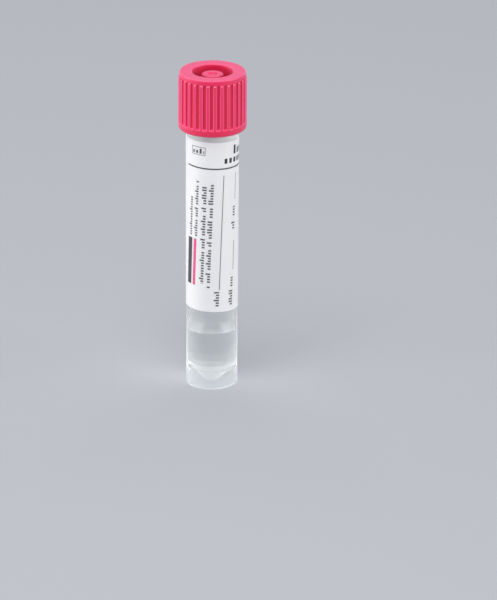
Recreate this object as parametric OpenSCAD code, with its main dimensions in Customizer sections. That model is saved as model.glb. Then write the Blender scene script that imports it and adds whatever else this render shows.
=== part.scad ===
// Self-standing screw-cap tube for a specimen swab. A clear moulded tube has its conical
// bottom inside a standing skirt. A ribbed cap screws down over the neck: its hollow plug
// closes the mouth, and the blind socket under its central boss grips a swab's shaft.
// A paper label is wrapped round the body, and the transport medium fills the cone.
// Every piece is round about the Z axis, and the skirt stands on z = 0.

/* [Tube] */
// Outer radius of the straight foot, which drops into a rack
foot_r = 6.1; // [6:0.05:6.2]
// Height of the straight foot, where the draft of the body starts
foot_h = 18.6; // [16:0.1:18.6]
// Outer radius of the body at the shoulder
body_r = 6.24; // [6.2:0.02:6.4]
// Wall thickness of the body and of the cone
wall = 0.8; // [0.7:0.05:1]
// Height of the shoulder under the neck
shoulder_z = 64.9; // [60:0.1:72]
// Root radius of the threaded neck
neck_r = 6.05; // [6:0.05:6.15]
// Wall thickness of the neck
neck_wall = 0.6; // [0.5:0.05:0.7]
// Height of the neck above the shoulder
neck_h = 12; // [11:0.25:14]

/* [Conical bottom] */
// Slope of the cone above the horizontal, in degrees
cone_slope = 45; // [42:1:48]
// Radius of the flat tip under the cone
tip_r = 1.35; // [1:0.05:1.8]
// Height of the flat tip above the surface that the tube stands on
tip_z = 0.6; // [0.4:0.1:1]
// Thickness of the floor at the tip
tip_floor = 0.9; // [0.8:0.05:1.2]

/* [Cap] */
// Radius over the grip ribs
cap_r = 8.15; // [8.1:0.05:8.6]
// Thickness of the cap's top plate, which seats on the rim
top_t = 1.6; // [1.4:0.1:2]
// How far the skirt reaches down past the shoulder
skirt_lap = 0.65; // [0.3:0.05:1]
// Number of grip ribs
rib_count = 30; // [20:1:32]
// Depth of the grooves between the ribs
rib_depth = 0.5; // [0.3:0.05:0.55]
// Share of the rib pitch that a groove's mouth takes
groove_share = 0.65; // [0.45:0.05:0.7]
// Angle of the first groove's middle, in degrees
groove_start = 4.5; // [0:0.5:12]
// Height of the plain ring at the cap's lower edge
ring_h = 1.75; // [1.2:0.05:2.5]
// Wall thickness of the plug that closes the mouth
plug_wall = 0.5; // [0.4:0.05:0.7]
// Depth of the recess in the cap's top
recess_depth = 5.1; // [4.5:0.1:5.5]

/* [Swab socket] */
// Radius of the swab's shaft, which the socket grips
shaft_r = 1.25; // [1:0.05:1.4]
// Length of the socket's straight bore
socket_len = 5.6; // [4.5:0.1:5.8]
// Radius of the boss and of the socket's wall
boss_r = 2.62; // [2.4:0.02:2.8]

/* [Label] */
// Height of the label's lower edge at the front
label_z = 19.7; // [19.7:0.1:30]
// Gap between the label and the cap
label_gap = 1.8; // [1.2:0.1:6]
// Thickness of the label
label_t = 0.1; // [0.05:0.01:0.2]
// Angle that the label covers, in degrees
label_wrap = 330; // [180:5:350]
// Skew of the label on the tube, in degrees
label_skew = 2.1; // [0:0.1:2.4]

/* [Transport medium] */
// Height of the liquid's surface
fill_z = 13.5; // [9:0.1:30]
// Climb of the liquid up the wall
meniscus = 0.35; // [0.2:0.05:0.6]

/* [Hidden] */
$fn = 64;

// Main heights and radii
rim_z = shoulder_z + neck_h;
mouth_r = neck_r - neck_wall;
inner_low_r = foot_r - wall;
draft_z = shoulder_z - 0.4;
cap_top_z = rim_z + top_t;
cap_low_z = shoulder_z - skirt_lap;

// Conical bottom and skirt; the skirt's inside leans out a little towards the floor
inner_tip_z = tip_z + tip_floor;
cone_rise = wall / cos(cone_slope);
inner_tip_r = tip_r + (tip_floor - cone_rise) / tan(cone_slope);
tip_round = 0.6;
corner_round = 1;
web_round = 0.3;
foot_round = 0.2;
rim_round = 0.25;
skirt_top_r = inner_low_r - 0.05;
skirt_low_r = inner_low_r + 0.1;

// Cap: bore over the neck's thread, ribs, edges, plug with its sealing bead
bore_r = neck_r + 0.9;
bore_chamfer = 0.3;
groove_r = cap_r - rib_depth;
band_r = cap_r - 0.25;
rib_top_z = cap_top_z - 1.2;
rib_end = 0.25;
ring_top_z = cap_low_z + ring_h;
lower_round = 0.7;
top_round = 0.4;
recess_round = 0.35;
boss_round = 0.2;
plug_r = mouth_r - 0.09;
bead_r = mouth_r - 0.03;
recess_r = bead_r - plug_wall;
recess_floor_z = cap_top_z - recess_depth;
plug_low_z = recess_floor_z - 0.9;
plug_chamfer = 0.5;
bead_z = plug_low_z + 1.8;

// Central boss with its moulding dimple, and the swab socket inside it
boss_top_z = cap_top_z - 0.75;
dimple_r = 0.9;
dimple_depth = 0.15;
socket_top_z = boss_top_z - 1.25;
socket_low_z = socket_top_z - socket_len;
funnel_h = 1.6;
funnel_r = boss_r - 0.45;

// The label and the liquid keep this much off the tube's own faces
skin_gap = 0.02;
label_steps = 72;
// The label's left edge, measured round from the middle of its front
label_left = -104;
meniscus_r = 1;

// Points along an arc about the centre c, from angle a0 to angle a1
function arc(c, r, a0, a1, n = 4) =
    [for (i = [0:n]) let (a = a0 + (a1 - a0) * i / n) c + r * [cos(a), sin(a)]];

// Height of the cone's outer and inner face at radius r
function cone_out(r) = tip_z + (r - tip_r) * tan(cone_slope);
function cone_in(r) = cone_out(r) + cone_rise;

// Centre of the rounded corner where the wall of the bore runs into the cone
corner = [inner_low_r - corner_round,
          cone_in(inner_low_r - corner_round) + corner_round / cos(cone_slope)];

// Radius of the tube's inner face above that corner, and of its outer face
function inner_at(z) =
    inner_low_r + (mouth_r - inner_low_r) * (z - corner[1]) / (rim_z - corner[1]);
function outer_at(z) =
    foot_r + (body_r - foot_r) * max(0, z - foot_h) / (draft_z - foot_h);

// The bore's conical bottom from the wall in to the axis, drawn in by a gap
function cone_bottom(gap) = concat(
    arc(corner, corner_round - gap, 0, cone_slope - 90),
    arc([inner_tip_r - tip_round * tan(cone_slope / 2), inner_tip_z + tip_round],
        tip_round - gap, cone_slope - 90, -90),
    [[0, inner_tip_z + gap]]);

// Half section of the tube, from the tip round the skirt, up the outside and down the bore
module tube_section() {
    web = [skirt_top_r - web_round,
           cone_out(skirt_top_r - web_round) - web_round / cos(cone_slope)];
    polygon(concat(
        [[0, tip_z]],
        arc([tip_r - tip_round * tan(cone_slope / 2), tip_z + tip_round],
            tip_round, -90, cone_slope - 90),
        arc(web, web_round, 90 + cone_slope, 0),
        arc([skirt_low_r + foot_round, foot_round], foot_round, 180, 270),
        arc([foot_r - foot_round, foot_round], foot_round, 270, 360),
        [[foot_r, foot_h], [body_r, draft_z],
         [neck_r + 0.06, shoulder_z], [neck_r, shoulder_z + 0.15]],
        arc([neck_r - rim_round, rim_z - rim_round], rim_round, 0, 90),
        arc([mouth_r + rim_round / 2, rim_z - rim_round / 2], rim_round / 2, 90, 180, 3),
        cone_bottom(0)));
}

module tube() {
    color([0.86, 0.90, 0.92, 0.4]) rotate_extrude() tube_section();
}

// Half section of the cap before its grooves are cut
module cap_section() {
    polygon(concat(
        // skirt's lower edge, outside up to the plain band, and the top face
        [[bore_r, cap_low_z + bore_chamfer], [bore_r + bore_chamfer, cap_low_z]],
        arc([cap_r - lower_round, cap_low_z + lower_round], lower_round, -90, 0),
        [[cap_r, rib_top_z - rib_end], [band_r, rib_top_z]],
        arc([band_r - top_round, cap_top_z - top_round], top_round, 0, 90),
        // recess round the boss, and the boss with its dimple
        arc([recess_r + recess_round, cap_top_z - recess_round], recess_round, 90, 180, 3),
        [[recess_r, recess_floor_z], [boss_r, recess_floor_z]],
        arc([boss_r - boss_round, boss_top_z - boss_round], boss_round, 0, 90, 3),
        [[dimple_r, boss_top_z], [dimple_r - dimple_depth, boss_top_z - dimple_depth],
         [0, boss_top_z - dimple_depth]],
        // blind socket with its funnel mouth
        [[0, socket_top_z], [shaft_r, socket_top_z], [shaft_r, socket_low_z],
         [funnel_r, socket_low_z - funnel_h], [boss_r, socket_low_z - funnel_h + 0.2]],
        // plug with its sealing bead, seat on the rim, and bore over the neck
        [[boss_r, plug_low_z], [plug_r - plug_chamfer, plug_low_z],
         [plug_r, plug_low_z + plug_chamfer], [plug_r, bead_z - 0.4], [bead_r, bead_z - 0.15],
         [bead_r, bead_z + 0.15], [plug_r, bead_z + 0.4], [plug_r, rim_z], [bore_r, rim_z]]));
}

// One grip groove along +X: steep flanks up from a flat floor, eased where they meet the crests
module groove() {
    mouth = PI * cap_r / rib_count * groove_share;
    floor_w = 0.72 * mouth;
    flare = 0.12;
    translate([0, 0, ring_top_z])
        linear_extrude(rib_top_z - ring_top_z - 0.05)
            polygon([[groove_r, -floor_w], [cap_r - flare, -0.87 * mouth], [cap_r, -mouth],
                     [cap_r + 0.3, -mouth], [cap_r + 0.3, mouth], [cap_r, mouth],
                     [cap_r - flare, 0.87 * mouth], [groove_r, floor_w]]);
}

module screw_cap() {
    color([0.86, 0.20, 0.38]) difference() {
        rotate_extrude() cap_section();
        for (i = [0:rib_count - 1]) rotate(groove_start + i * 360 / rib_count) groove();
    }
}

// A thin sheet wrapped round the body. Its edges drop evenly from left to right by the skew
module label() {
    step = label_wrap / label_steps;
    top_z = cap_low_z - label_gap;
    function drop(a) = tan(label_skew) * body_r * a * PI / 180;
    // One corner of the sheet at turn a: t is its height off the tube, z its height at the front
    function corner_at(a, t, z) =
        let (r = (outer_at(z) + skin_gap) / cos(step / 2) + t, zz = z - drop(a))
            [r * sin(a), -r * cos(a), zz];
    points = [for (i = [0:label_steps]) let (a = label_left + i * step)
                  each [corner_at(a, 0, label_z), corner_at(a, label_t, label_z),
                        corner_at(a, label_t, top_z), corner_at(a, 0, top_z)]];
    last = 4 * label_steps;
    sides = [for (i = [0:label_steps - 1]) for (k = [0:3])
                 let (p = 4 * i + k, q = 4 * i + (k + 1) % 4) each [[p, q, p + 4], [q, q + 4, p + 4]]];
    ends = [[0, 2, 1], [0, 3, 2], [last, last + 1, last + 2], [last, last + 2, last + 3]];
    color([0.95, 0.95, 0.96]) polyhedron(points, concat(sides, ends));
}

// Half section of the liquid: cone, wall, the climb at the wall and the level surface
module medium_section() {
    climb = acos(1 - meniscus / meniscus_r);
    top_r = inner_at(fill_z + meniscus) - skin_gap;
    polygon(concat(
        [[0, fill_z]],
        arc([top_r - meniscus_r * sin(climb), fill_z + meniscus_r], meniscus_r, -90, climb - 90),
        cone_bottom(skin_gap)));
}

module transport_medium() {
    color([0.80, 0.88, 0.90, 0.4]) rotate_extrude() medium_section();
}

tube();
screw_cap();
label();
transport_medium();
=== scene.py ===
"""The looks of a screw-cap specimen swab tube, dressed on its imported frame.

Lengths are in millimetres here, and MM turns them into the frame's metres; only the floor, the
lamps and the camera are placed in metres. A turn is an angle round the tube's axis in degrees: 0
is the middle of the front, and 90 is at +X.
"""

import math

import bpy
from mathutils import Matrix, Vector


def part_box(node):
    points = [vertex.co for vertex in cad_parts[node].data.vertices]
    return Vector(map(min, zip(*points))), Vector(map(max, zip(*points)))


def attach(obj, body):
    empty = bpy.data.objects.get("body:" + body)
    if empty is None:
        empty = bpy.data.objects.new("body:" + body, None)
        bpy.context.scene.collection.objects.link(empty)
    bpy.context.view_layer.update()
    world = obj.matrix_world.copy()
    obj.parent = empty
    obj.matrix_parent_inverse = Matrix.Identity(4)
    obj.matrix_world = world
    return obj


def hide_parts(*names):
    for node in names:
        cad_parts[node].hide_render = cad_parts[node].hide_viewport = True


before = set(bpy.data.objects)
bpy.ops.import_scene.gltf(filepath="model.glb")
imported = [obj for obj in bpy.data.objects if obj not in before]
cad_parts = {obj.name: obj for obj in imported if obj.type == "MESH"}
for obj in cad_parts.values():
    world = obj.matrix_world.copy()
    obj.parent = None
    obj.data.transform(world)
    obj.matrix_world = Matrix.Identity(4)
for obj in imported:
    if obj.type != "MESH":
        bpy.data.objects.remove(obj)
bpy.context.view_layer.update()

MM = 0.001


def box_mm(node):
    """The lowest and highest corners of a node's box, in millimetres."""
    low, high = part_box(node)
    return low / MM, high / MM


tube_high = box_mm("tube")[1]
cap_low, cap_high = box_mm("screw_cap")
liquid_high = box_mm("transport_medium")[1]

# Steps round a revolved piece. Turns that differ by less than the match count as the same
ROUND_STEPS = 240
TURN_MATCH = 0.0001

# Tube: a straight foot, a slightly wider body, and a thinner neck under the cap
BODY_R = tube_high.x
FOOT_R = BODY_R - 0.14
FOOT_H = 18.6
WALL = 0.8
RIM_Z = tube_high.z
SHOULDER_Z = RIM_Z - 12
DRAFT_TOP = SHOULDER_Z - 0.4
NECK_R = 6.05
MOUTH_R = NECK_R - 0.6
BORE_LOW_R = FOOT_R - WALL

# Its conical bottom, with the stub of the moulding gate below the tip, inside a standing skirt
TIP_R = 1.35
TIP_Z = 0.6
TIP_FLOOR = 0.9
TIP_ROUND = 0.6
GATE_R = 0.45
GATE_TALL = 0.12
CONE_RISE = WALL * math.sqrt(2)
CORNER_R = 1
INNER_TIP_Z = TIP_Z + TIP_FLOOR
INNER_TIP_R = TIP_R + TIP_FLOOR - CONE_RISE
SKIRT_TOP_R = BORE_LOW_R - 0.05
SKIRT_LOW_R = BORE_LOW_R + 0.1

# Milky haze: its top over the cone, and its lower end on the bare collar, behind the label
CONE_HAZE_TOP = 6.4
COLLAR_LOW = 62

# Cap: crests of its ribs, band above them and ring below them
CAP_R = cap_high.x
CAP_TOP = cap_high.z
CAP_LOW = cap_low.z
BAND_R = CAP_R - 0.25
RIB_DEPTH = 0.5
RIBS = 30
RIB_TOP = CAP_TOP - 1.2
RING_TOP = CAP_LOW + 1.75
# The turn of one groove's middle
GROOVE_TURN = -1.5
# Half of a groove's section, from its middle: the turn away from it, and the share of its depth
GROOVE = [(0, 1), (2.6, 1), (2.8, 0.96), (2.9, 0.9), (3.1, 0.42), (3.15, 0.37), (3.25, 0.31),
          (3.9, 0.06), (4.05, 0.015), (4.25, 0)]

# Inside of the cap: bore over the neck, and a hollow plug with a sealing bead round it
BORE_R = NECK_R + 0.9
BORE_CHAMFER = 0.3
PLUG_R = MOUTH_R - 0.09
PLUG_CHAMFER = 0.5
BEAD_R = MOUTH_R - 0.03
BEAD_HALF = 0.4
RECESS_R = BEAD_R - 0.5
RECESS_Z = CAP_TOP - 5.1
PLUG_LOW = RECESS_Z - 0.9
BEAD_Z = PLUG_LOW + 1.8

# Boss in the recess, with a dimple in its top and the swab's socket inside it
BOSS_R = 2.62
BOSS_TOP = CAP_TOP - 0.75
DIMPLE_R = 1.15
DIMPLE_LOW_R = 0.95
DIMPLE_Z = BOSS_TOP - 0.3
SHAFT_R = 1.25
SOCKET_TOP = BOSS_TOP - 1.25
SOCKET_LOW = SOCKET_TOP - 5.6
FUNNEL_R = BOSS_R - 0.45
FUNNEL_LOW = SOCKET_LOW - 1.6

# Threads: the neck's ridge runs up two turns, and the cap's ridge lies halfway between. Both
# have the same half width, of which the flank is a part, and fade out over a share of a turn
PITCH = 3
THREAD_TURNS = 2
THREAD_RISE = PITCH * THREAD_TURNS
THREAD_Z = 67.6
THREAD_MARGIN = 1
THREAD_PROUD = 0.55
CAP_THREAD_PROUD = 0.65
RIDGE_HALF = 0.72
RIDGE_FLANK = 0.5
RIDGE_FADE = 0.08

# Label: a rectangle stuck on slightly askew, its own axes running across and up
LABEL_Z = 19.7
LABEL_TALL = 42.75
LABEL_WRAP = 330
LABEL_LEFT = -104
LABEL_SKEW = math.radians(2.1)
LABEL_THICK = 0.1
LABEL_CORNER_R = 1.2
SKIN_GAP = 0.02

# Its print: softness of an edge, and blocks in cells, as shares of a cell's width and height
PRINT_EDGE = 0.03
BLOCK_LEFT = 0.2
BLOCK_RIGHT = 0.76
SHORT_HEIGHT = 0.62
SHORT_SHARE = 0.68

# Liquid: its surface climbs the wall to just under the top of its node, and creeps into it
MENISCUS = 0.33
MENISCUS_REACH = 1.4
MENISCUS_STEPS = 8
FILL_Z = liquid_high.z - MENISCUS - SKIN_GAP
CREEP = 0.05


# ---------------------------------------------------------------- shader maths


class Signal:
    """One output of a finish's node. Arithmetic on it adds the Math nodes."""

    def __init__(self, finish, socket):
        self.finish = finish
        self.socket = socket

    def math(self, operation, *values, clamp=False):
        """A Math node on these values, in their order."""
        settings = {"operation": operation, "use_clamp": clamp}
        return self.finish.node("ShaderNodeMath", settings, dict(enumerate(values)))

    def __add__(self, other):
        return self.math("ADD", self, other)

    def __sub__(self, other):
        return self.math("SUBTRACT", self, other)

    def __rsub__(self, other):
        return self.math("SUBTRACT", other, self)

    def __mul__(self, other):
        return self.math("MULTIPLY", self, other)

    def __truediv__(self, other):
        return self.math("DIVIDE", self, other)

    def __rtruediv__(self, other):
        return self.math("DIVIDE", other, self)

    def __pow__(self, other):
        return self.math("POWER", self, other)

    def __rpow__(self, other):
        return self.math("POWER", other, self)

    def __gt__(self, other):
        return self.math("GREATER_THAN", self, other)

    def __abs__(self):
        return self.math("ABSOLUTE", self)

    def __and__(self, other):
        return self.math("MINIMUM", self, other)

    def __or__(self, other):
        return self.math("MAXIMUM", self, other)

    def __floor__(self):
        return self.math("FLOOR", self)

    __radd__ = __add__
    __rmul__ = __mul__
    __rand__ = __and__
    __ror__ = __or__

    def within(self, low, high, feather):
        """1 between two limits and 0 outside them, with a soft edge."""
        off = abs(self - (low + high) / 2)
        return self.math("MULTIPLY", (high - low) / 2 + feather / 2 - off, 1 / feather, clamp=True)


class Finish:
    """A material under construction. One method, node, adds any node, and the others are short
    ways to call it."""

    def __init__(self, name):
        self.material = bpy.data.materials.new(name)
        self.material.use_nodes = True
        self.tree = self.material.node_tree
        self.tree.nodes.clear()

    def node(self, kind, settings=None, sockets=None, output=0):
        """Add a node: its settings first, then its sockets' values or links."""
        node = self.tree.nodes.new(kind)
        for key, value in (settings or {}).items():
            setattr(node, key, value)
        for key, value in (sockets or {}).items():
            if isinstance(value, Signal):
                self.tree.links.new(value.socket, node.inputs[key])
            else:
                node.inputs[key].default_value = value
        return Signal(self, node.outputs[output]) if node.outputs else None

    def place(self):
        """Where a point lies on the object, in millimetres."""
        metres = self.node("ShaderNodeTexCoord", output="Object")
        return self.node("ShaderNodeVectorMath", {"operation": "SCALE"},
                         {"Vector": metres, "Scale": 1 / MM})

    def axes(self, place):
        """The x, y and z of a place."""
        return [self.node("ShaderNodeSeparateXYZ", {}, {0: place}, output=k) for k in range(3)]

    def reach_and_height(self, place):
        """How far a place lies from the tube's axis, and how high above the floor."""
        x, y, z = self.axes(place)
        return x.math("SQRT", x * x + y * y), z

    def noise(self, place, scale, detail=2):
        """Smooth noise about 0.5."""
        return self.node("ShaderNodeTexNoise", {},
                         {"Vector": place, "Scale": scale, "Detail": detail})

    def chance(self, cell):
        """A random share from 0 to 1 for each whole number."""
        return self.node("ShaderNodeTexWhiteNoise", {"noise_dimensions": "1D"}, {"W": cell})

    def mix(self, share, first, second):
        """A colour between two others. These sockets are the node's own for colours."""
        return self.node("ShaderNodeMix", {"data_type": "RGBA"},
                         {0: share, 6: first, 7: second}, output=2)

    def bump(self, height, strength, depth):
        """Small relief of this depth in millimetres."""
        return self.node("ShaderNodeBump", {},
                         {"Strength": strength, "Distance": depth * MM, "Height": height})

    def surface(self, sockets):
        """The material's shader."""
        return self.node("ShaderNodeBsdfPrincipled", {}, sockets)

    def blend(self, share, first, second):
        """A shader between two others."""
        return self.node("ShaderNodeMixShader", {}, {0: share, 1: first, 2: second})

    def lamp_proof(self, shader, clearness):
        """Glass that lets this share of the lamps' light straight through."""
        shadow_ray = self.node("ShaderNodeLightPath", output="Is Shadow Ray")
        clear = self.node("ShaderNodeBsdfTransparent")
        return self.blend(shadow_ray * clearness, shader, clear)

    def done(self, shader):
        """The finished material."""
        self.node("ShaderNodeOutputMaterial", {}, {"Surface": shader})
        return self.material


def srgb(red, green, blue):
    """A colour written as 0 to 255 on a screen, as the shader's own linear values."""
    def linear(v):
        v = v / 255
        return v / 12.92 if v <= 0.04045 else ((v + 0.055) / 1.055) ** 2.4
    return (linear(red), linear(green), linear(blue), 1)


# ---------------------------------------------------------------- meshes of revolution


def rounded(corners, step=9):
    """An outline's points. A corner is (radius, height) or (radius, height, rounding), and step
    is the turn in degrees from one point of a rounding to the next, at most."""
    flat = [Vector(corner[:2]) for corner in corners]
    points = []
    for i, corner in enumerate(corners):
        if len(corner) == 2:
            points.append(tuple(corner))
            continue
        back = (flat[i - 1] - flat[i]).normalized()
        ahead = (flat[i + 1] - flat[i]).normalized()
        half = back.angle(ahead) / 2
        centre = flat[i] + (back + ahead).normalized() * corner[2] / math.sin(half)
        start = flat[i] + back * corner[2] / math.tan(half) - centre
        sweep = math.pi - 2 * half
        if back.x * ahead.y - back.y * ahead.x > 0:
            sweep = -sweep
        count = max(2, math.ceil(abs(math.degrees(sweep)) / step))
        for k in range(count + 1):
            arm = start @ Matrix.Rotation(-sweep * k / count, 2)
            points.append(tuple(centre + arm))
    return points


def held_flat(points, margin=0.06, least=0.4):
    """The same outline, with a point close to each end of its long sides so that they shade
    flat."""
    held = [points[0]]
    for (r0, z0), (r1, z1) in zip(points, points[1:]):
        length = math.hypot(r1 - r0, z1 - z0)
        if length > least:
            for share in (margin / length, 1 - margin / length):
                held.append((r0 + (r1 - r0) * share, z0 + (z1 - z0) * share))
        held.append((r1, z1))
    return held


def plain(points):
    """Rings with no relief."""
    return [(r, z, 0, None) for r, z in points]


def skin(name, vertices, faces, material, crease=40):
    """A smooth mesh object from vertices in millimetres. Edges that turn by more than the crease,
    in degrees, stay sharp."""
    mesh = bpy.data.meshes.new(name)
    mesh.from_pydata([Vector(v) * MM for v in vertices], [], faces)
    mesh.shade_smooth()
    mesh.set_sharp_from_angle(angle=math.radians(crease))
    mesh.materials.append(material)
    piece = bpy.data.objects.new(name, mesh)
    bpy.context.scene.collection.objects.link(piece)
    return piece


def band_faces(low, low_turns, high, high_turns):
    """Faces between two rings: quads where their turns agree, and triangles elsewhere."""
    def after(turns, k):
        if k >= len(turns):
            return math.inf
        return turns[k + 1] if k + 1 < len(turns) else turns[0] + 360

    def point(start, turns, k):
        return start + k % len(turns) if turns else start

    faces, i, k = [], 0, 0
    while i < len(low_turns) or k < len(high_turns):
        ahead = after(low_turns, i) - after(high_turns, k)
        corners = [point(low, low_turns, i)]
        if ahead < TURN_MATCH:
            i += 1
            corners.append(point(low, low_turns, i))
        if ahead > -TURN_MATCH:
            corners.append(point(high, high_turns, k + 1))
        corners.append(point(high, high_turns, k))
        if ahead > -TURN_MATCH:
            k += 1
        faces.append(tuple(corners))
    return faces


def revolve(name, bands, material):
    """A closed skin from bands of rings, each band with turns of its own, which all start at the
    same turn. A ring is (radius, height, relief, pattern): the pattern, a function of turn and
    height, says how much of the relief is added to the radius. Radius 0 is a pole."""
    vertices, faces, last = [], [], None
    for turns, rings in bands:
        for r, z, relief, pattern in rings:
            ring_turns = turns if r > 0 else []
            start = len(vertices)
            if r == 0:
                vertices.append((0, 0, z))
            for turn in ring_turns:
                reach = r + relief * pattern(turn, z) if pattern else r
                angle = math.radians(turn)
                vertices.append((reach * math.sin(angle), -reach * math.cos(angle), z))
            if last:
                faces += band_faces(*last, start, ring_turns)
            last = (start, ring_turns)
    return skin(name, vertices, faces, material)


def even_turns(count, start=0):
    """Turns at equal steps all round."""
    return [start + 360 * k / count for k in range(count)]


def smooth(x):
    """0 up to x = 0 and 1 from x = 1, with an even S between them."""
    x = min(max(x, 0), 1)
    return x * x * (3 - 2 * x)


def ridge(turn, z, start_z):
    """A thread's ridge, from 0 at its root to 1 on its crest, fading out at both ends."""
    coils = round((z - start_z) / PITCH - turn / 360)
    along = coils + turn / 360
    off = abs(z - start_z - PITCH * along)
    fade = smooth(along / RIDGE_FADE) * smooth((THREAD_TURNS - along) / RIDGE_FADE)
    return smooth((RIDGE_HALF - off) / RIDGE_FLANK) * fade


def neck_thread(turn, z):
    """The ridge outside the neck."""
    return ridge(turn, z, THREAD_Z)


def cap_thread(turn, z):
    """The ridge inside the cap, which lies in the gaps of the neck's."""
    return ridge(turn, z, THREAD_Z - PITCH / 2)


# ---------------------------------------------------------------- tube


def outer_at(z):
    """The body's outer radius, which grows a little above its straight foot."""
    return FOOT_R + (BODY_R - FOOT_R) * max(0, z - FOOT_H) / (DRAFT_TOP - FOOT_H)


def cone_out(r):
    """Height of the cone's underside, at a slope of 45 degrees."""
    return TIP_Z + r - TIP_R


def cone_in(r):
    """Height of the cone's inner face."""
    return cone_out(r) + CONE_RISE


def inner_at(z):
    """Radius of the bore, which opens a little towards the mouth."""
    low = cone_in(BORE_LOW_R)
    return BORE_LOW_R + (MOUTH_R - BORE_LOW_R) * (z - low) / (RIM_Z - low)


def thread_rows(r, relief, pattern, low, high, step=0.15):
    """Close rings over a thread's height."""
    count = round(abs(high - low) / step)
    return [(r, low + (high - low) * k / count, relief, pattern) for k in range(count + 1)]


def make_tube(material):
    """The tube: up the outside from the tip, over the thread and the rim, and down the bore."""
    low = THREAD_Z - THREAD_MARGIN
    high = THREAD_Z + THREAD_RISE + THREAD_MARGIN
    below = rounded([
        (0, TIP_Z - GATE_TALL), (GATE_R, TIP_Z - GATE_TALL, 0.04), (GATE_R + 0.05, TIP_Z, 0.04),
        (TIP_R, TIP_Z, TIP_ROUND), (SKIRT_TOP_R, cone_out(SKIRT_TOP_R), 0.3),
        (SKIRT_LOW_R, 0, 0.2), (FOOT_R, 0, 0.22), (FOOT_R, FOOT_H, 8),
        (BODY_R, SHOULDER_Z - 0.35, 0.25), (NECK_R, SHOULDER_Z, 0.1), (NECK_R, low - 0.2)])
    above = rounded([
        (NECK_R, high + 0.2), (NECK_R, RIM_Z, 0.25), (MOUTH_R, RIM_Z, 0.2),
        (BORE_LOW_R, cone_in(BORE_LOW_R), CORNER_R), (INNER_TIP_R, INNER_TIP_Z, TIP_ROUND),
        (0, INNER_TIP_Z)])
    neck = thread_rows(NECK_R, THREAD_PROUD, neck_thread, low, high)
    rings = plain(held_flat(below)) + neck + plain(held_flat(above))
    return revolve("tube_shell", [(even_turns(ROUND_STEPS), rings)], material)


def make_liquid(material):
    """The medium creeps a hair into the wall, so that no film of air shows between them."""
    tip_z = INNER_TIP_Z - CREEP
    top = FILL_Z + MENISCUS
    points = rounded([
        (0, tip_z), (INNER_TIP_R, tip_z, TIP_ROUND),
        (BORE_LOW_R + CREEP, cone_in(BORE_LOW_R) - CREEP, CORNER_R),
        (inner_at(top) + CREEP, top)])
    for k in range(MENISCUS_STEPS + 1):
        share = k / MENISCUS_STEPS
        climb = MENISCUS * (1 - share) ** 3
        points.append((inner_at(top) - MENISCUS_REACH * share, FILL_Z + climb))
    points.append((0, FILL_Z))
    rings = plain(held_flat(points))
    return revolve("medium_body", [(even_turns(ROUND_STEPS), rings)], material)


# ---------------------------------------------------------------- cap


def groove(turn, z):
    """1 on the floor of a grip groove and 0 on a rib's crest, whose edges are rounded."""
    pitch = 360 / RIBS
    off = abs((turn - GROOVE_TURN + pitch / 2) % pitch - pitch / 2)
    for (near, near_depth), (far, far_depth) in zip(GROOVE, GROOVE[1:]):
        if off <= far:
            return near_depth + (far_depth - near_depth) * (off - near) / (far - near)
    return 0


def cap_turns():
    """Turns that crowd together on the flanks of every rib."""
    pitch = 360 / RIBS
    half = [off for off, depth in GROOVE]
    offsets = sorted([-h for h in half[1:]] + half + [pitch / 2])
    return [GROOVE_TURN + k * pitch + off for k in range(RIBS) for off in offsets]


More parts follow.
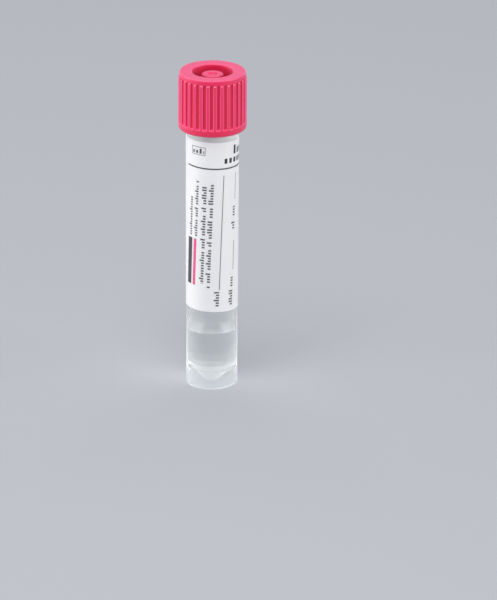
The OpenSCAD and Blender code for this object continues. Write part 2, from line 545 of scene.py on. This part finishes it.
def make_cap(material):
    """The cap: up the outside, over the top into the recess, and down through plug and bore."""
    bore_edge = (BORE_R, CAP_LOW + BORE_CHAMFER)
    skirt = rounded([bore_edge, (BORE_R + BORE_CHAMFER, CAP_LOW, 0.1),
                     (CAP_R, CAP_LOW, 0.7), (CAP_R, RING_TOP - 0.2)])
    # Crest radius, height and depth of the groove, up the ribs from the ring to the band
    grip = [(CAP_R, RING_TOP - 0.1, 0), (CAP_R, RING_TOP - 0.06, 0.01),
            (CAP_R, RING_TOP - 0.03, 0.03), (CAP_R, RING_TOP, 0.07),
            (CAP_R, RING_TOP + 0.3, 0.42), (CAP_R, RING_TOP + 0.34, 0.46),
            (CAP_R, RING_TOP + 0.39, 0.49), (CAP_R, RING_TOP + 0.45, RIB_DEPTH),
            (CAP_R, RIB_TOP - 0.42, RIB_DEPTH), (CAP_R, RIB_TOP - 0.34, RIB_DEPTH),
            (CAP_R - 0.015, RIB_TOP - 0.29, 0.485), (CAP_R - 0.04, RIB_TOP - 0.255, 0.46),
            (CAP_R - 0.21, RIB_TOP - 0.085, 0.29), (CAP_R - 0.23, RIB_TOP - 0.06, 0.26),
            (CAP_R - 0.24, RIB_TOP - 0.03, 0.05), (BAND_R, RIB_TOP, 0)]
    ribs = [(r, z, -depth, groove) for r, z, depth in grip]
    top = rounded([
        (BAND_R, RIB_TOP + 0.02), (BAND_R, CAP_TOP, 0.36), (RECESS_R, CAP_TOP, 0.4),
        (RECESS_R - 0.06, RECESS_Z, 0.3), (BOSS_R, RECESS_Z, 0.3), (BOSS_R - 0.04, BOSS_TOP, 0.25),
        (DIMPLE_R, BOSS_TOP, 0.06), (DIMPLE_LOW_R, DIMPLE_Z, 0.08), (0, DIMPLE_Z)])
    below = rounded([
        (0, SOCKET_TOP), (SHAFT_R, SOCKET_TOP, 0.2), (SHAFT_R, SOCKET_LOW, 0.4),
        (FUNNEL_R, FUNNEL_LOW, 0.1), (BOSS_R, FUNNEL_LOW + 0.2, 0.1), (BOSS_R, PLUG_LOW, 0.3),
        (PLUG_R - PLUG_CHAMFER, PLUG_LOW, 0.15), (PLUG_R, PLUG_LOW + PLUG_CHAMFER, 0.2),
        (PLUG_R, BEAD_Z - BEAD_HALF, 0.2), (BEAD_R, BEAD_Z, 0.25),
        (PLUG_R, BEAD_Z + BEAD_HALF, 0.2), (PLUG_R, RIM_Z, 0.1), (BORE_R, RIM_Z, 0.3),
        (BORE_R, RIM_Z - 0.9)])
    low = THREAD_Z - PITCH / 2 - THREAD_MARGIN
    high = low + THREAD_RISE + 2 * THREAD_MARGIN
    bore = thread_rows(BORE_R, -CAP_THREAD_PROUD, cap_thread, high, low)
    rib_turns = cap_turns()
    round_turns = even_turns(ROUND_STEPS, rib_turns[0])
    rest = plain(held_flat(top) + held_flat(below)) + bore + plain([bore_edge])
    bands = [(round_turns, plain(skirt)), (rib_turns, ribs), (round_turns, rest)]
    return revolve("cap_shell", bands, material)


# ---------------------------------------------------------------- label


def label_point(across, up, lift):
    """A point of the label: across and up are its own axes, and lift is its height off the
    tube."""
    u = across * math.cos(LABEL_SKEW) + up * math.sin(LABEL_SKEW)
    z = LABEL_Z + up * math.cos(LABEL_SKEW) - across * math.sin(LABEL_SKEW)
    angle = u / BODY_R
    r = outer_at(z) + SKIN_GAP + lift
    return (r * math.sin(angle), -r * math.cos(angle), z)


def make_label(material):
    """The label: two sheets of columns and rows, one on the tube and one above it, with edges."""
    left = math.radians(LABEL_LEFT) * BODY_R
    wide = math.radians(LABEL_WRAP) * BODY_R
    corner_r = LABEL_CORNER_R
    spans = 150
    rows = 28
    edge = [corner_r * (1 - math.cos(math.radians(a))) for a in range(0, 91, 10)]
    inner = [corner_r + (wide - 2 * corner_r) * k / spans for k in range(1, spans)]
    columns = edge + inner + [wide - e for e in reversed(edge)]
    vertices = []
    for lift in (0, LABEL_THICK):
        for across in columns:
            inset = max(0, corner_r - min(across, wide - across))
            trim = corner_r - math.sqrt(corner_r ** 2 - inset ** 2)
            for k in range(rows + 1):
                up = trim + (LABEL_TALL - 2 * trim) * k / rows
                vertices.append(label_point(left + across, up, lift))
    line = rows + 1
    sheet = len(columns) * line
    faces = []
    for i in range(len(columns) - 1):
        for k in range(rows):
            a, b = i * line + k, (i + 1) * line + k
            faces.append((a, a + 1, b + 1, b))
            faces.append((a + sheet, b + sheet, b + 1 + sheet, a + 1 + sheet))
        a, b = i * line, (i + 1) * line
        faces.append((a, b, b + sheet, a + sheet))
        a, b = a + rows, b + rows
        faces.append((a, a + sheet, b + sheet, b))
    last = sheet - line
    for k in range(rows):
        faces.append((k, k + sheet, k + 1 + sheet, k + 1))
        faces.append((last + k, last + k + 1, last + k + 1 + sheet, last + k + sheet))
    return skin("label_sheet", vertices, faces, material)


# ---------------------------------------------------------------- finishes


def clear_plastic():
    """Clear polypropylene. Its milky haze gathers in the thick cone, between the label and the
    cap, and where the line of sight runs along the wall."""
    finish = Finish("clear_plastic")
    place = finish.place()
    reach, z = finish.reach_and_height(place)
    cloud = finish.noise(place, 0.35)
    clear = finish.surface({
        "Base Color": srgb(241, 243, 243),
        "Roughness": 0.12 + cloud * 0.08,
        "IOR": 1.49,
        "Transmission Weight": 1.0,
        "Normal": finish.bump(finish.noise(place, 1.6), 0.1, 0.02),
    })
    white = srgb(250, 251, 252)
    front = finish.surface({"Base Color": white, "Roughness": 0.3, "IOR": 1.49})
    behind = finish.node("ShaderNodeBsdfTranslucent", {}, {"Color": white})
    milky = finish.blend(0.5, front, behind)
    grazing = finish.node("ShaderNodeLayerWeight", {}, {"Blend": 0.5}, output="Facing")
    along_wall = grazing ** 3
    cone = reach.within(-1, SKIRT_TOP_R, 0.2) & z.within(TIP_Z - 0.2, CONE_HAZE_TOP, 0.6)
    collar = z.within(COLLAR_LOW, CAP_LOW - 0.05, 0.6)
    haze = 0.05 + along_wall * 0.6 + cone * 0.18 + collar * 0.45
    shader = finish.blend(haze, clear, milky)
    return finish.done(finish.lamp_proof(shader, 0.93))


def clear_liquid():
    """Clear, thin liquid."""
    finish = Finish("clear_liquid")
    shader = finish.surface({
        "Base Color": srgb(249, 251, 251),
        "Roughness": 0.0,
        "IOR": 1.33,
        "Transmission Weight": 1.0,
    })
    return finish.done(finish.lamp_proof(shader, 0.97))


def pink_plastic():
    """Moulded pink plastic: satin, with a faint grain, with painted shade that deepens its colour
    in its hollows and on its plain bands, and a painted highlight along the edges of its ribs and
    of its top."""
    finish = Finish("pink_plastic")
    place = finish.place()
    reach, z = finish.reach_and_height(place)
    grain = finish.noise(place, 7, 3)
    cloud = finish.noise(place, 0.5)
    # Painted shade: a deeper pink in the grooves and the recess, and in part on the band and the
    # ring
    grooves = (reach.within(BORE_R + 0.05, CAP_R - 0.3, 0.3)
               & z.within(RING_TOP + 0.2, RIB_TOP - 0.1, 0.2))
    recess = (reach.within(BOSS_R - 0.1, RECESS_R + 0.3, 0.1)
              & z.within(0, CAP_TOP - 0.5, 0.4))
    band = (reach.within(BAND_R - 0.2, BAND_R + 1, 0.1)
            & z.within(RIB_TOP, CAP_TOP - 0.4, 0.2))
    ring = z.within(0, RING_TOP - 0.15, 0.2)
    painted_shade = grooves | recess | band * 0.6 | ring * 0.8
    # Painted highlight: a paler pink along the crests' edges and round the top's outer edge
    rib_edge_highlight = (reach.within(CAP_R - 0.17, CAP_R - 0.03, 0.04)
                 & z.within(RING_TOP, RIB_TOP, 0.1))
    top_edge_highlight = z.within(CAP_TOP - 0.16, CAP_TOP - 0.03, 0.04)
    edges = rib_edge_highlight | top_edge_highlight * 0.8
    pink = finish.mix(cloud, srgb(226, 27, 88), srgb(231, 33, 94))
    # The deeper pink mixed in here is painted shade
    pink = finish.mix(painted_shade, pink, srgb(216, 14, 68))
    # The paler pink on the edges is a painted highlight
    shader = finish.surface({
        "Base Color": finish.mix(edges * 0.62, pink, srgb(250, 120, 165)),
        "Roughness": 0.46 + grain * 0.1,
        "IOR": 1.47,
        "Coat Weight": 0.2,
        "Coat Roughness": 0.15,
        "Coat IOR": 1.45,
        "Sheen Weight": 0.4,
        "Sheen Roughness": 0.5,
        "Sheen Tint": srgb(250, 195, 245),
        "Normal": finish.bump(grain, 0.25, 0.02),
    })
    return finish.done(shader)


def blocks(finish, along, rise, start, end, pitch, height, seed, gaps=0.17):
    """Ink of a row of plain blocks, in words of uneven length, where wording would stand. Each
    block takes a cell of one pitch; the seed draws the tall ones and the gaps between words."""
    cell = math.floor(along / pitch)
    inside = along - cell * pitch
    tall = finish.chance(cell + seed) > SHORT_SHARE
    filled = finish.chance(cell + seed + 0.5) > gaps
    top = height * (SHORT_HEIGHT + tall * (1 - SHORT_HEIGHT))
    across = inside.within(BLOCK_LEFT * pitch, BLOCK_RIGHT * pitch, PRINT_EDGE)
    up = (top - rise).within(0, 2 * height, PRINT_EDGE) & rise.within(0, 2 * height, PRINT_EDGE)
    return across & up & filled & along.within(start, end, PRINT_EDGE)


def patch(across, up, left, right, low, high):
    """Ink of a plain rectangle on the label."""
    return across.within(left, right, PRINT_EDGE) & up.within(low, high, PRINT_EDGE)


def label_ink(finish, across, up):
    """Everything that is printed in grey: a line across, two lines to write on, a small box,
    a broad bar, and rows of blocks."""
    divider = patch(across, up, -8.1, 19, 35.98, 36.32)
    first_line = patch(across, up, 1.5, 1.68, 5.6, 34.5)
    second_line = (patch(across, up, 5.3, 5.46, 10.3, 17.6)
                   | patch(across, up, 5.3, 5.46, 28, 34.6))
    box = (patch(across, up, -6.75, -3.1, 39.35, 41.4)
           - patch(across, up, -6.62, -3.23, 39.48, 41.27))
    bar = patch(across, up, -7.4, -5.9, 6.2, 18)
    ink = divider | first_line | second_line | box | bar
    # Rows that run up the label: baseline, start, end, pitch, height, seed
    rows = [
        (-6.1, 18.6, 28.4, 0.62, 1.0, 3),
        (-4.45, 18.6, 33, 0.62, 1.0, 17),
        (-2.4, 7, 32, 0.66, 1.15, 31),
        (-0.75, 6, 32.3, 0.66, 1.15, 44),
        (1.6, 1.4, 5.1, 0.66, 1.25, 58),
        (5.4, 1.3, 9.4, 0.66, 1.15, 71),
        (5.4, 20.6, 27.5, 0.66, 1.15, 83),
    ]
    for baseline, start, end, pitch, height, seed in rows:
        ink = ink | blocks(finish, up, baseline - across, start, end, pitch, height, seed)
    in_box = blocks(finish, across, up - 39.75, -6.4, -3.4, pitch=0.95, height=1.25, seed=95,
                    gaps=0)
    return ink | in_box


def bold_ink(finish, across, up):
    """The two rows of larger black marks at the upper right."""
    upper = blocks(finish, across, up - 39.45, 3.9, 9.5, pitch=1.35, height=2.2, seed=110, gaps=0)
    lower = blocks(finish, across, up - 37.4, 1.15, 9.5, pitch=1.35, height=2.0, seed=121, gaps=0)
    return upper | lower


def label_paper():
    """Satin white paper that a little light comes through where it is bare, printed in grey,
    black and pink."""
    finish = Finish("label_paper")
    place = finish.place()
    fibre = finish.noise(place, 4, 4)
    x, y, z = finish.axes(place)
    u = x.math("ARCTAN2", x, 0 - y) * BODY_R
    height = z - LABEL_Z
    across = u * math.cos(LABEL_SKEW) - height * math.sin(LABEL_SKEW)
    up = u * math.sin(LABEL_SKEW) + height * math.cos(LABEL_SKEW)
    ink = label_ink(finish, across, up)
    bold = bold_ink(finish, across, up)
    pink = patch(across, up, -5.4, -4.6, 6.2, 18)
    paper = srgb(250, 250, 251)
    colour = finish.mix(ink, paper, srgb(62, 62, 66))
    colour = finish.mix(bold, colour, srgb(26, 26, 28))
    colour = finish.mix(pink, colour, srgb(226, 78, 128))
    front = finish.surface({
        "Base Color": colour,
        "Roughness": 0.42 + fibre * 0.1,
        "Normal": finish.bump(fibre, 0.2, 0.02),
    })
    behind = finish.node("ShaderNodeBsdfTranslucent", {}, {"Color": paper})
    bare = 1 - (ink | bold | pink)
    return finish.done(finish.blend(bare * 0.3, front, behind))


# ---------------------------------------------------------------- stage


def floor_finish():
    """A plain, pale and matt floor."""
    finish = Finish("floor_grey")
    shader = finish.surface({
        "Base Color": srgb(178, 180, 185),
        "Roughness": 0.9,
        "Specular IOR Level": 0.1,
    })
    return finish.done(shader)


def make_floor():
    """A square of floor under the tube. Its half side is in metres."""
    half = 4
    mesh = bpy.data.meshes.new("floor")
    mesh.from_pydata([(-half, -half, 0), (half, -half, 0), (half, half, 0), (-half, half, 0)],
                     [], [(0, 1, 2, 3)])
    mesh.materials.append(floor_finish())
    floor = bpy.data.objects.new("floor", mesh)
    bpy.context.scene.collection.objects.link(floor)


def soft_box(name, turn, rise, distance, wide, tall, watts, colour=(1, 1, 1)):
    """A rectangular lamp that faces the middle of the tube from a turn and a height angle, in
    degrees. Its distance and sides are in metres."""
    data = bpy.data.lights.new(name, "AREA")
    data.shape = "RECTANGLE"
    data.size = wide
    data.size_y = tall
    data.energy = watts
    data.color = colour
    lamp = bpy.data.objects.new(name, data)
    aim = Vector((0, 0, CAP_TOP / 2 * MM))
    turn, rise = math.radians(turn), math.radians(rise)
    away = Vector((math.sin(turn) * math.cos(rise), -math.cos(turn) * math.cos(rise),
                   math.sin(rise)))
    lamp.location = aim + away * distance
    lamp.rotation_euler = away.to_track_quat("Z", "Y").to_euler()
    lamp.visible_camera = False
    bpy.context.scene.collection.objects.link(lamp)


def make_lights():
    """Soft boxes round the tube, and an even glow from the room."""
    # Name, turn, height angle, distance, width, height, watts, colour
    soft_box("left_lamp", -58, 15.9, 1.8, 1.0, 1.09, 7.9)
    soft_box("side_lamp", -94, 6.2, 1.6, 1.0, 0.42, 13)
    soft_box("right_lamp", 70, 11.5, 2.0, 1.0, 0.88, 21)
    soft_box("top_lamp", 178, 56, 0.9, 0.8, 0.55, 1.7, (0.94, 0.96, 1))
    soft_box("overhead_lamp", -15, 60, 0.9, 0.6, 0.5, 4.0, (0.98, 0.98, 1))
    world = bpy.data.worlds.new("room")
    world.use_nodes = True
    background = world.node_tree.nodes["Background"]
    background.inputs["Color"].default_value = srgb(238, 239, 241)
    background.inputs["Strength"].default_value = 0.5
    bpy.context.scene.world = world


def make_camera():
    """A long lens, far off and high up, that looks down on the tube. Its angles are in radians."""
    data = bpy.data.cameras.new("camera")
    data.sensor_width = 36
    data.lens = 668.1
    data.clip_start = 0.05
    data.clip_end = 20
    camera = bpy.data.objects.new("camera", data)
    place = (0.0087503, -2.5, 0.9376053)
    downward = 0.351584
    roll = 0.0042
    camera.matrix_world = (Matrix.Translation(place)
                           @ Matrix.Rotation(math.pi / 2 - downward, 4, "X")
                           @ Matrix.Rotation(roll, 4, "Z"))
    bpy.context.scene.collection.objects.link(camera)
    bpy.context.scene.camera = camera


# ---------------------------------------------------------------- the whole


def dress(piece, body, node):
    """A piece rides on a body and hides the node it stands for."""
    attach(piece, body)
    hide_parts(node)


make_camera()
dress(make_tube(clear_plastic()), "tube_body", "tube")
dress(make_liquid(clear_liquid()), "tube_body", "transport_medium")
dress(make_label(label_paper()), "tube_body", "label")
dress(make_cap(pink_plastic()), "cap", "screw_cap")
make_floor()
make_lights()
scene = bpy.context.scene
scene.view_settings.view_transform = "Standard"
# Light has to get through two walls and the paper, and back, to light the inside
scene.cycles.max_bounces = 24
scene.cycles.diffuse_bounces = 8
scene.cycles.glossy_bounces = 16
scene.cycles.transmission_bounces = 20
scene.cycles.transparent_max_bounces = 16
